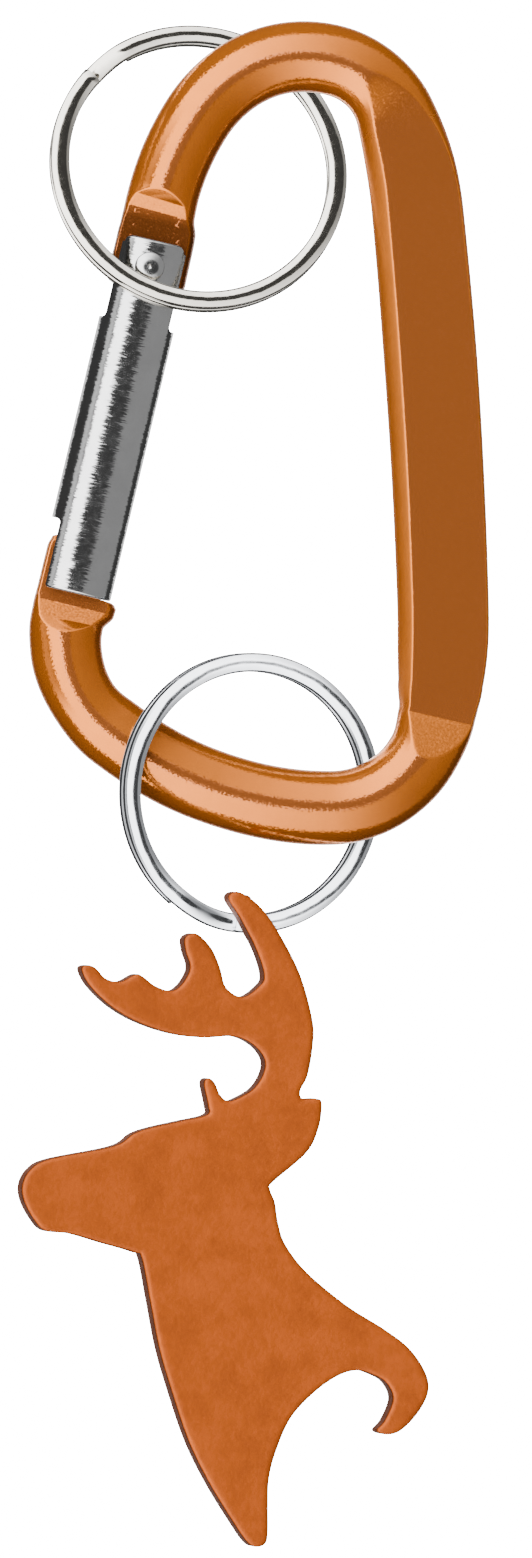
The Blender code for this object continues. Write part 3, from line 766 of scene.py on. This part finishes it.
def plate_points(outline, roll):
    """Points inside the outline: rows along its rolled edge, then a plain grid, none of them crowded."""
    along = np.roll(outline, -1, axis=0) - np.roll(outline, 1, axis=0)
    along /= np.linalg.norm(along, axis=1)[:, None]
    inward = np.stack([along[:, 1], -along[:, 0]], axis=1)
    rows = []
    for share in ROLL_ROWS:
        row = outline + inward * roll * share
        gap, inside = distance_to(outline, row)
        rows.append(row[inside & (gap > ROW_NEARNESS * roll * share)])
    low, high = outline.min(0), outline.max(0)
    xs = np.arange(low[0], high[0], PLATE_GRID)
    zs = np.arange(low[1], high[1], PLATE_GRID)
    grid = np.array([(x + 0.5 * PLATE_GRID * (j % 2), z) for j, z in enumerate(zs) for x in xs])
    gap, inside = distance_to(outline, grid)
    rows.append(grid[inside & (gap > roll * ROLL_ROWS[-1] + GRID_CLEARANCE)])
    return np.concatenate(rows)


def rolled_depth(gap, roll):
    """How far a rolled edge falls back, from its distance to the rim."""
    width, depth = roll
    share = np.clip(1.0 - gap / width, 0.0, 1.0)
    return depth * (1.0 - np.sqrt(np.clip(1.0 - share**ROLL_POWER, 0.0, 1.0)))


def make_opener(material):
    """The stamped plate: a rolled front edge, a straight cut wall and a nearly sharp back edge."""
    outline = smooth_outline(OPENER_OUTLINE, OUTLINE_STEPS)
    count = len(outline)
    inner = plate_points(outline, FRONT_ROLL[0])
    flat = [Vector(p) for p in np.concatenate([outline, inner])]
    rim = [(i, (i + 1) % count) for i in range(count)]
    points, _, triangles, sources, *_ = delaunay_2d_cdt(flat, rim, [list(range(count))], 1, 1e-7)
    points = np.array([tuple(p) for p in points])
    gap, _ = distance_to(outline, points)
    back = -OPENER_BACK_GAP
    front = back - OPENER_THICKNESS
    on_rim = {}
    for i, source in enumerate(sources):
        for s in source:
            if s < count:
                on_rim[s] = i
                gap[i] = 0.0
    bm = bmesh.new()
    sheets = []
    for depth, roll, sign in ((front, FRONT_ROLL, 1.0), (back, BACK_ROLL, -1.0)):
        fall = rolled_depth(gap, roll)
        sheets.append([bm.verts.new((p[0], depth + sign * f, p[1])) for p, f in zip(points, fall)])
    for triangle in triangles:
        for sheet in sheets:
            bm.faces.new([sheet[i] for i in triangle])
    top = front + FRONT_ROLL[1]
    bottom = back - BACK_ROLL[1]
    rows = [[sheets[0][on_rim[i]] for i in range(count)]]
    for k in range(1, WALL_ROWS):
        depth = top + (bottom - top) * k / WALL_ROWS
        rows.append([bm.verts.new((p[0], depth, p[1])) for p in outline])
    rows.append([sheets[1][on_rim[i]] for i in range(count)])
    for first, second in zip(rows, rows[1:]):
        for i in range(count):
            j = (i + 1) % count
            bm.faces.new((first[i], first[j], second[j], second[i]))
    replaced = ["bottle_opener"]
    axes = opener_axes()
    plate = finish_piece(
        "opener_plate", bm, material, "opener", axes, replaced, PLATE_SHARP_ANGLE
    )
    plate.visible_glossy = False


def make_eye(material):
    """The round staple behind the tall tine that holds the lower ring. Its feet end inside the plate."""
    foot = -(OPENER_BACK_GAP + 0.5 * OPENER_THICKNESS)
    shares = [i / EYE_FOOT_STEPS for i in range(1, EYE_FOOT_STEPS + 1)]
    path = [Vector((0.0, foot * share, EYE_RADIUS)) for share in reversed(shares)]
    for i in range(EYE_BEND_STEPS + 1):
        angle = math.pi * i / EYE_BEND_STEPS
        path.append(Vector((0.0, EYE_RADIUS * math.sin(angle), EYE_RADIUS * math.cos(angle))))
    path += [Vector((0.0, foot * share, -EYE_RADIUS)) for share in shares]
    lean = Matrix.Rotation(math.radians(-EYE_LEAN), 3, "Y")
    rings = tube_along([lean @ point for point in path], EYE_WIRE_RADIUS, 24)
    add_rings("opener_eye", rings, material, "opener", opener_axes())


# ---------------------------------------------------------------- materials


class Nodes:
    """Short calls to build a node tree. A value is a number or another node's output."""

    def __init__(self, tree):
        self.tree = tree
        tree.nodes.clear()

    def new(self, kind):
        return self.tree.nodes.new(kind)

    def link(self, out, socket):
        self.tree.links.new(out, socket)

    def put(self, value, socket):
        """Sets an input to a number or tuple, or links an output to it."""
        if isinstance(value, (int, float, tuple)):
            socket.default_value = value
        elif value is not None:
            self.link(value, socket)

    def math(self, operation, a, b=None):
        node = self.new("ShaderNodeMath")
        node.operation = operation
        self.put(a, node.inputs[0])
        self.put(b, node.inputs[1])
        return node.outputs[0]

    def ramp(self, value, low, high, out_low=0.0, out_high=1.0, smooth=True):
        """Maps low to out_low and high to out_high, and stays there beyond them."""
        node = self.new("ShaderNodeMapRange")
        node.interpolation_type = "SMOOTHSTEP" if smooth else "LINEAR"
        limits = (("From Min", low), ("From Max", high), ("To Min", out_low), ("To Max", out_high))
        for name, limit in limits:
            self.put(limit, node.inputs[name])
        self.link(value, node.inputs["Value"])
        return node.outputs["Result"]

    def parts(self, vector):
        """The X, Y and Z of a vector."""
        node = self.new("ShaderNodeSeparateXYZ")
        self.link(vector, node.inputs[0])
        return node.outputs

    def coordinates(self, source, scale):
        """Texture coordinates in millimetres, stretched by scale."""
        if source == "UV":
            texture = self.new("ShaderNodeUVMap")
            texture.uv_map = "surface"
            out = texture.outputs["UV"]
            unit = 1.0
        else:
            texture = self.new("ShaderNodeTexCoord")
            out = texture.outputs["Object"]
            unit = 1.0 / MM
        mapping = self.new("ShaderNodeMapping")
        mapping.inputs["Scale"].default_value = [unit * s for s in scale]
        self.link(out, mapping.inputs["Vector"])
        return mapping.outputs["Vector"]

    def run_along(self):
        """The distance along a piece in millimetres."""
        return self.parts(self.coordinates("UV", (1.0, 1.0, 1.0)))["X"]

    def noise(self, vector, scale, detail=3.0, roughness=0.5):
        node = self.new("ShaderNodeTexNoise")
        node.inputs["Scale"].default_value = scale
        node.inputs["Detail"].default_value = detail
        node.inputs["Roughness"].default_value = roughness
        self.link(vector, node.inputs["Vector"])
        return node.outputs["Fac"]

    def mixed(self, factor, first, second, blend="MIX"):
        """A colour that turns from the first into the second as the factor rises."""
        node = self.new("ShaderNodeMix")
        node.data_type = "RGBA"
        node.blend_type = blend
        self.put(factor, node.inputs["Factor"])
        sockets = [i for i in node.inputs if i.type == "RGBA"]
        for colour, socket in zip((first, second), sockets):
            self.put((*colour, 1.0) if isinstance(colour, tuple) else colour, socket)
        return next(o for o in node.outputs if o.type == "RGBA")

    def shaded(self, colour, factor):
        """A colour times a factor."""
        return self.mixed(1.0, colour, factor, "MULTIPLY")

    def vector(self, operation, a, b=None):
        node = self.new("ShaderNodeVectorMath")
        node.operation = operation
        self.put(a, node.inputs[0])
        self.put(b, node.inputs[1])
        return node.outputs["Vector"]

    def show(self, kind, factor, first, second):
        """Ends the tree with a mix of two shaders."""
        mix = self.new("ShaderNodeMixShader")
        for node_output, socket in zip((factor, first.outputs[0], second.outputs[0]), mix.inputs):
            self.link(node_output, socket)
        self.link(mix.outputs[0], self.new(kind).inputs["Surface"])

    def turned(self, direction, kind="VECTOR", source="OBJECT", target="WORLD"):
        """A direction taken from the object's axes to the world's, or back."""
        node = self.new("ShaderNodeVectorTransform")
        node.vector_type = kind
        node.convert_from = source
        node.convert_to = target
        self.put(direction, node.inputs[0])
        return node.outputs[0]

    def surface_normal(self):
        return self.new("ShaderNodeNewGeometry").outputs["Normal"]

    def facing_side(self):
        """How much a surface faces along the object's local Y, from 0 to 1."""
        local = self.turned(self.surface_normal(), "NORMAL", "WORLD", "OBJECT")
        return self.math("ABSOLUTE", self.parts(local)["Y"])

    def jagged(self, normal, source, jag):
        """Tilts a normal across the piece by a noise that is short along it."""
        along_scale, round_scale, strength = jag
        if source == "UV":
            tangent = self.new("ShaderNodeTangent")
            tangent.direction_type = "UV_MAP"
            tangent.uv_map = "surface"
            along = tangent.outputs[0]
            scale = (along_scale, round_scale, 1.0)
        else:
            along = self.turned((0.0, 0.0, 1.0))
            scale = (round_scale, round_scale, along_scale)
        tilt = self.math("SUBTRACT", self.noise(self.coordinates(source, scale), 1.0, 3.0, 0.6), 0.5)
        across = self.vector("CROSS_PRODUCT", normal, along)
        push = self.vector("MULTIPLY", across, self.math("MULTIPLY", tilt, strength))
        return self.vector("NORMALIZE", self.vector("ADD", normal, push))

    def flattened(self, normal, factors):
        """Scales a normal's slope along the object's axes."""
        local = self.turned(normal, "NORMAL", "WORLD", "OBJECT")
        return self.turned(self.vector("NORMALIZE", self.vector("MULTIPLY", local, factors)), "NORMAL")

    def leaning(self, normal, lean):
        """Turns a normal towards a direction given in the object's axes."""
        return self.vector("NORMALIZE", self.vector("ADD", normal, self.turned(lean)))

    def bump(self, height, distance, normal):
        """Bumps of a height in millimetres."""
        node = self.new("ShaderNodeBump")
        node.inputs["Strength"].default_value = 1.0
        node.inputs["Distance"].default_value = distance * MM
        self.link(height, node.inputs["Height"])
        self.put(normal, node.inputs["Normal"])
        return node.outputs["Normal"]


def paint(nodes, place, colour, drift, specks, wall, worn):
    """A surface's colour: it drifts a little, and is darker where the metal's options say so, with painted
    shade on the sides and a painted shade tint on what faces the camera.
    """
    cloud = nodes.ramp(nodes.noise(place, 0.3, 5.0, 0.7), 0.3, 0.7)
    darker, lighter = (tuple(min(1.0, share * c) for c in colour) for share in (1.0 - drift, 1.0 + drift))
    out = nodes.mixed(cloud, darker, lighter)
    # Painted shade: the sides that face away from local Y are painted darker.
    if wall:
        out = nodes.shaded(out, nodes.ramp(nodes.facing_side(), 0.25, 0.75, wall, 1.0))
    # Painted shade tint on what faces straight along local Y, where the surface mirrors the dark around the
    # camera.
    if worn:
        out = nodes.mixed(nodes.ramp(nodes.facing_side(), 0.985, 0.997), out, worn)
    if specks:
        reach = specks[2]
        out = nodes.shaded(out, nodes.ramp(nodes.run_along(), reach, reach + SPECKS_FADE, SPECKED_SHADE, 1.0))
    return out


def unevenness(nodes, place, roughness, spread, scuff):
    """A surface's roughness, with its scuffed stretch."""
    out = nodes.ramp(nodes.noise(place, 1.7, 5.0, 0.65), 0.3, 0.75, roughness, roughness + spread)
    if not scuff:
        return out
    start, end, extra = scuff
    run = nodes.run_along()
    fade_in = nodes.ramp(run, start, start + SCUFF_FADES[0])
    fade_out = nodes.ramp(run, end - SCUFF_FADES[1], end, extra, 0.0)
    side = nodes.ramp(nodes.facing_side(), 0.96, 0.992, 1.0, 0.0)
    return nodes.math("ADD", out, nodes.math("MULTIPLY", nodes.math("MULTIPLY", fade_in, fade_out), side))


def shading_normal(nodes, place, texture, jag, grain, specks, lean, flatten):
    """A surface's shading direction, or nothing where no option changes it."""
    normal = None
    if grain:
        scale, depth = grain
        normal = nodes.bump(nodes.noise(place, scale, 2.0, 0.5), depth, normal)
    if specks:
        scale, depth, reach = specks
        pits = nodes.ramp(nodes.noise(place, scale, 1.0, 0.5), 0.68, 0.76)
        here = nodes.ramp(nodes.run_along(), reach, reach + SPECKS_FADE, 1.0, 0.0)
        normal = nodes.bump(nodes.math("MULTIPLY", pits, here), depth, normal)
    if jag:
        normal = nodes.jagged(normal or nodes.surface_normal(), texture, jag)
    if flatten:
        normal = nodes.flattened(normal, flatten)
    if lean:
        normal = nodes.leaning(normal, lean)
    return normal


def metal(name, colour, roughness, spread, drift, **options):
    """A worked metal surface. Its colour and roughness drift. The options are:

    metallic: how much of it is bare metal.
    jag: (scale along, scale round, strength), how unsteadily a reflection's edge runs.
    texture: "UV" where the jag follows the piece's length, "OBJECT" where it follows its local Z.
    grain: (scale, depth) of fine bumps.
    specks: (scale, depth, reach along) of scattered pits on a darker stretch.
    lean: a direction that the shading is turned towards, in the object's axes.
    flatten: how much the shading's slope is scaled along each of the object's axes.
    wall: painted shade, how much darker the sides are painted that face away from the object's local Y.
    worn: a painted shade tint, the duller, bluer colour of what faces straight along the object's local Y,
    where the surface mirrors the dark around the camera.
    scuff: (start, end, extra) of a stretch along the piece whose sides are rougher.
    """
    material = bpy.data.materials.new(name)
    material.use_nodes = True
    nodes = Nodes(material.node_tree)
    shader = nodes.new("ShaderNodeBsdfPrincipled")
    output = nodes.new("ShaderNodeOutputMaterial")
    nodes.link(shader.outputs["BSDF"], output.inputs["Surface"])
    shader.inputs["Metallic"].default_value = options.get("metallic", 1.0)
    place = nodes.coordinates("OBJECT", (1.0, 1.0, 1.0))
    get = options.get
    colour = paint(nodes, place, colour, drift, get("specks"), get("wall"), get("worn"))
    nodes.link(colour, shader.inputs["Base Color"])
    nodes.link(unevenness(nodes, place, roughness, spread, get("scuff")), shader.inputs["Roughness"])
    texture = get("texture", "OBJECT")
    normal = shading_normal(
        nodes, place, texture, get("jag"), get("grain"), get("specks"), get("lean"), get("flatten")
    )
    if normal:
        nodes.link(normal, shader.inputs["Normal"])
    return material


# ---------------------------------------------------------------- stage


def make_floor():
    """A pale round floor whose rim fades to white."""
    bpy.ops.mesh.primitive_circle_add(vertices=96, radius=FLOOR_RADIUS * MM, fill_type="NGON")
    floor = bpy.context.object
    floor.name = "floor"
    floor.location = (PICTURE_CENTRE.x * MM, 0.0, CAD_BOX[0].z - FLOOR_DROP * MM)
    material = bpy.data.materials.new("pale_floor")
    material.use_nodes = True
    nodes = Nodes(material.node_tree)
    place = nodes.new("ShaderNodeTexCoord")
    length = nodes.new("ShaderNodeVectorMath")
    length.operation = "LENGTH"
    nodes.link(place.outputs["Object"], length.inputs[0])
    matt = nodes.new("ShaderNodeBsdfDiffuse")
    matt.inputs["Color"].default_value = (*FLOOR_COLOUR, 1.0)
    glow = nodes.new("ShaderNodeEmission")
    glow.inputs["Color"].default_value = (1.0, 1.0, 1.0, 1.0)
    glow.inputs["Strength"].default_value = BACKGROUND
    fade = nodes.ramp(length.outputs["Value"], *FLOOR_FADE, FLOOR_GLOW, 1.0)
    nodes.show("ShaderNodeOutputMaterial", fade, matt, glow)
    floor.data.materials.append(material)
    floor.visible_glossy = False
    floor.visible_diffuse = False
    floor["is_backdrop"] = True


def tent_light(nodes, direction):
    """How bright the tent is in a direction: bright on the left, dark at the camera and dim at the side."""
    x, y, z = nodes.parts(direction)
    away = nodes.math("ARCCOSINE", nodes.math("MULTIPLY", y, -1.0))
    across = nodes.math("ADD", nodes.math("MULTIPLY", x, x), nodes.math("MULTIPLY", z, z))
    flat = nodes.math("MAXIMUM", nodes.math("SQRT", across), 0.001)
    left = nodes.math("DIVIDE", nodes.math("MULTIPLY", x, -1.0), flat)

    def angle_ramp(angle, low, high, *outs):
        return nodes.ramp(angle, math.radians(low), math.radians(high), *outs)

    tent = nodes.ramp(left, *TENT_SPREAD, RIGHT_LIGHT, LEFT_LIGHT)
    fall_start, fall_end, low = STRIP_FALL
    rise_start, rise_end, back = STRIP_RISE
    falling = angle_ramp(away, fall_start, fall_end, 1.0, low)
    strip = nodes.math("ADD", falling, angle_ramp(away, rise_start, rise_end, 0.0, back))
    missing = nodes.math("MULTIPLY", nodes.ramp(left, *STRIP_SIDE), nodes.math("SUBTRACT", 1.0, strip))
    tent = nodes.math("MULTIPLY", tent, nodes.math("SUBTRACT", 1.0, missing))

    turn = math.radians(CAMERA_GAP_TURN)
    sideways = nodes.math("MULTIPLY", x, math.sin(turn))
    toward = nodes.math("ADD", sideways, nodes.math("MULTIPLY", y, -math.cos(turn)))
    off_camera = angle_ramp(nodes.math("ARCCOSINE", toward), *CAMERA_GAP)
    ends = (math.radians(TENT_END_RIGHT), math.radians(TENT_END_LEFT))
    past_end = nodes.math("SUBTRACT", away, nodes.ramp(left, -1.0, 0.0, *ends, False))
    in_tent = angle_ramp(past_end, -TENT_END_BLUR, TENT_END_BLUR, 1.0, 0.0)
    lit = nodes.math("MULTIPLY", off_camera, in_tent)
    front = nodes.math("MULTIPLY", nodes.math("SUBTRACT", tent, DIM_LIGHT), lit)
    rear = angle_ramp(away, *REAR, 0.0, REAR_LIGHT - DIM_LIGHT)
    return nodes.math("ADD", nodes.math("ADD", front, rear), DIM_LIGHT)


def make_light():
    """The light tent, which the camera itself sees as plain white, and two soft lamps."""
    world = bpy.data.worlds.new("studio")
    bpy.context.scene.world = world
    world.use_nodes = True
    nodes = Nodes(world.node_tree)
    place = nodes.new("ShaderNodeTexCoord")
    light = nodes.new("ShaderNodeBackground")
    nodes.link(tent_light(nodes, place.outputs["Generated"]), light.inputs["Strength"])
    white = nodes.new("ShaderNodeBackground")
    white.inputs["Strength"].default_value = BACKGROUND
    path = nodes.new("ShaderNodeLightPath")
    nodes.show("ShaderNodeOutputWorld", path.outputs["Is Camera Ray"], light, white)
    for lamp in LAMPS:
        add_lamp(*lamp)


def add_lamp(name, place, tilt, energy):
    """A broad soft lamp that no surface mirrors."""
    lamp = bpy.data.lights.new(name, "AREA")
    lamp.shape = "DISK"
    lamp.size = LAMP_SIZE
    lamp.energy = energy
    holder = bpy.data.objects.new(name, lamp)
    holder.location = place
    holder.rotation_euler = (math.radians(tilt), 0.0, 0.0)
    bpy.context.scene.collection.objects.link(holder)
    holder.visible_glossy = False
    holder.visible_camera = False


def make_camera():
    """The camera, square to the carabiner."""
    camera = bpy.data.cameras.new("camera")
    camera.lens = LENS
    camera.sensor_width = SENSOR
    camera.clip_start, camera.clip_end = (MM * limit for limit in NEAR_AND_FAR)
    holder = bpy.data.objects.new("camera", camera)
    distance = PICTURE_HEIGHT * LENS / SENSOR
    holder.location = (PICTURE_CENTRE + Vector((0.0, -distance, 0.0))) * MM
    holder.rotation_euler = (math.radians(90.0), 0.0, 0.0)
    bpy.context.scene.collection.objects.link(holder)
    bpy.context.scene.camera = holder


# ---------------------------------------------------------------- all of it

bpy.context.scene.view_settings.view_transform = "AgX"
bpy.context.scene.view_settings.look = "AgX - Medium High Contrast"

anodised = metal(
    "anodised_orange",
    ORANGE,
    roughness=0.08,
    spread=0.05,
    drift=0.03,
    metallic=0.61,
    texture="UV",
    jag=(5.0, 4.0, 0.4),
    grain=(9.0, 0.002),
    specks=(1.3, 0.04, 6.5),
    # painted shade tint on the camera-facing parts of the rod
    worn=SHADE_TINT_ORANGE,
    scuff=(37.0, 101.0, 0.3),
)
matt = metal(
    "matt_orange",
    OPENER_ORANGE,
    roughness=0.5,
    spread=0.1,
    drift=0.12,
    metallic=0.42,
    grain=(2.4, 0.035),
    # painted shade on the plate's cut sides
    wall=0.4,
)
steel = metal("brushed_steel", STEEL, roughness=0.11, spread=0.08, drift=0.04, jag=(9.0, 0.9, 0.4))
inner = metal("spring_steel", INNER_STEEL, roughness=0.25, spread=0.1, drift=0.03, grain=(2.0, 0.004))
nickel = metal(
    "nickel",
    NICKEL,
    roughness=0.07,
    spread=0.06,
    drift=0.04,
    texture="UV",
    jag=(0.5, 0.4, 0.12),
    lean=(-0.18, -0.28, -0.13),
    flatten=(0.42, 1.3, 1.0),
)
bright = metal(
    "bright_plate",
    BRIGHT,
    roughness=0.08,
    spread=0.06,
    drift=0.04,
    texture="UV",
    jag=(0.12, 0.3, 0.35),
    lean=(-0.43, 0.0, -0.18),
)

make_frame(anodised)
make_sleeve(steel)
make_rivet(steel)
make_plunger(inner)
make_spring(inner)
make_seat(inner)
make_split_ring(
    "upper_ring", UPPER_RING_CENTRE, UPPER_RING_NORMAL, UPPER_RING_RADIUS, UPPER_JOG, nickel,
    "upper_ring", "upper_split_ring",
)  # fmt: skip
lower_normal = Vector((math.sin(math.radians(LOWER_RING_YAW)), -math.cos(math.radians(LOWER_RING_YAW)), 0.0))
make_split_ring(
    "lower_ring", LOWER_RING_CENTRE, lower_normal, LOWER_RING_RADIUS, LOWER_JOG, bright,
    "lower_ring", "lower_split_ring",
)  # fmt: skip
make_opener(matt)
make_eye(matt)
make_floor()
make_light()
make_camera()

boxes = [[list(corner) for corner in box] for box in (CAD_BOX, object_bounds())]
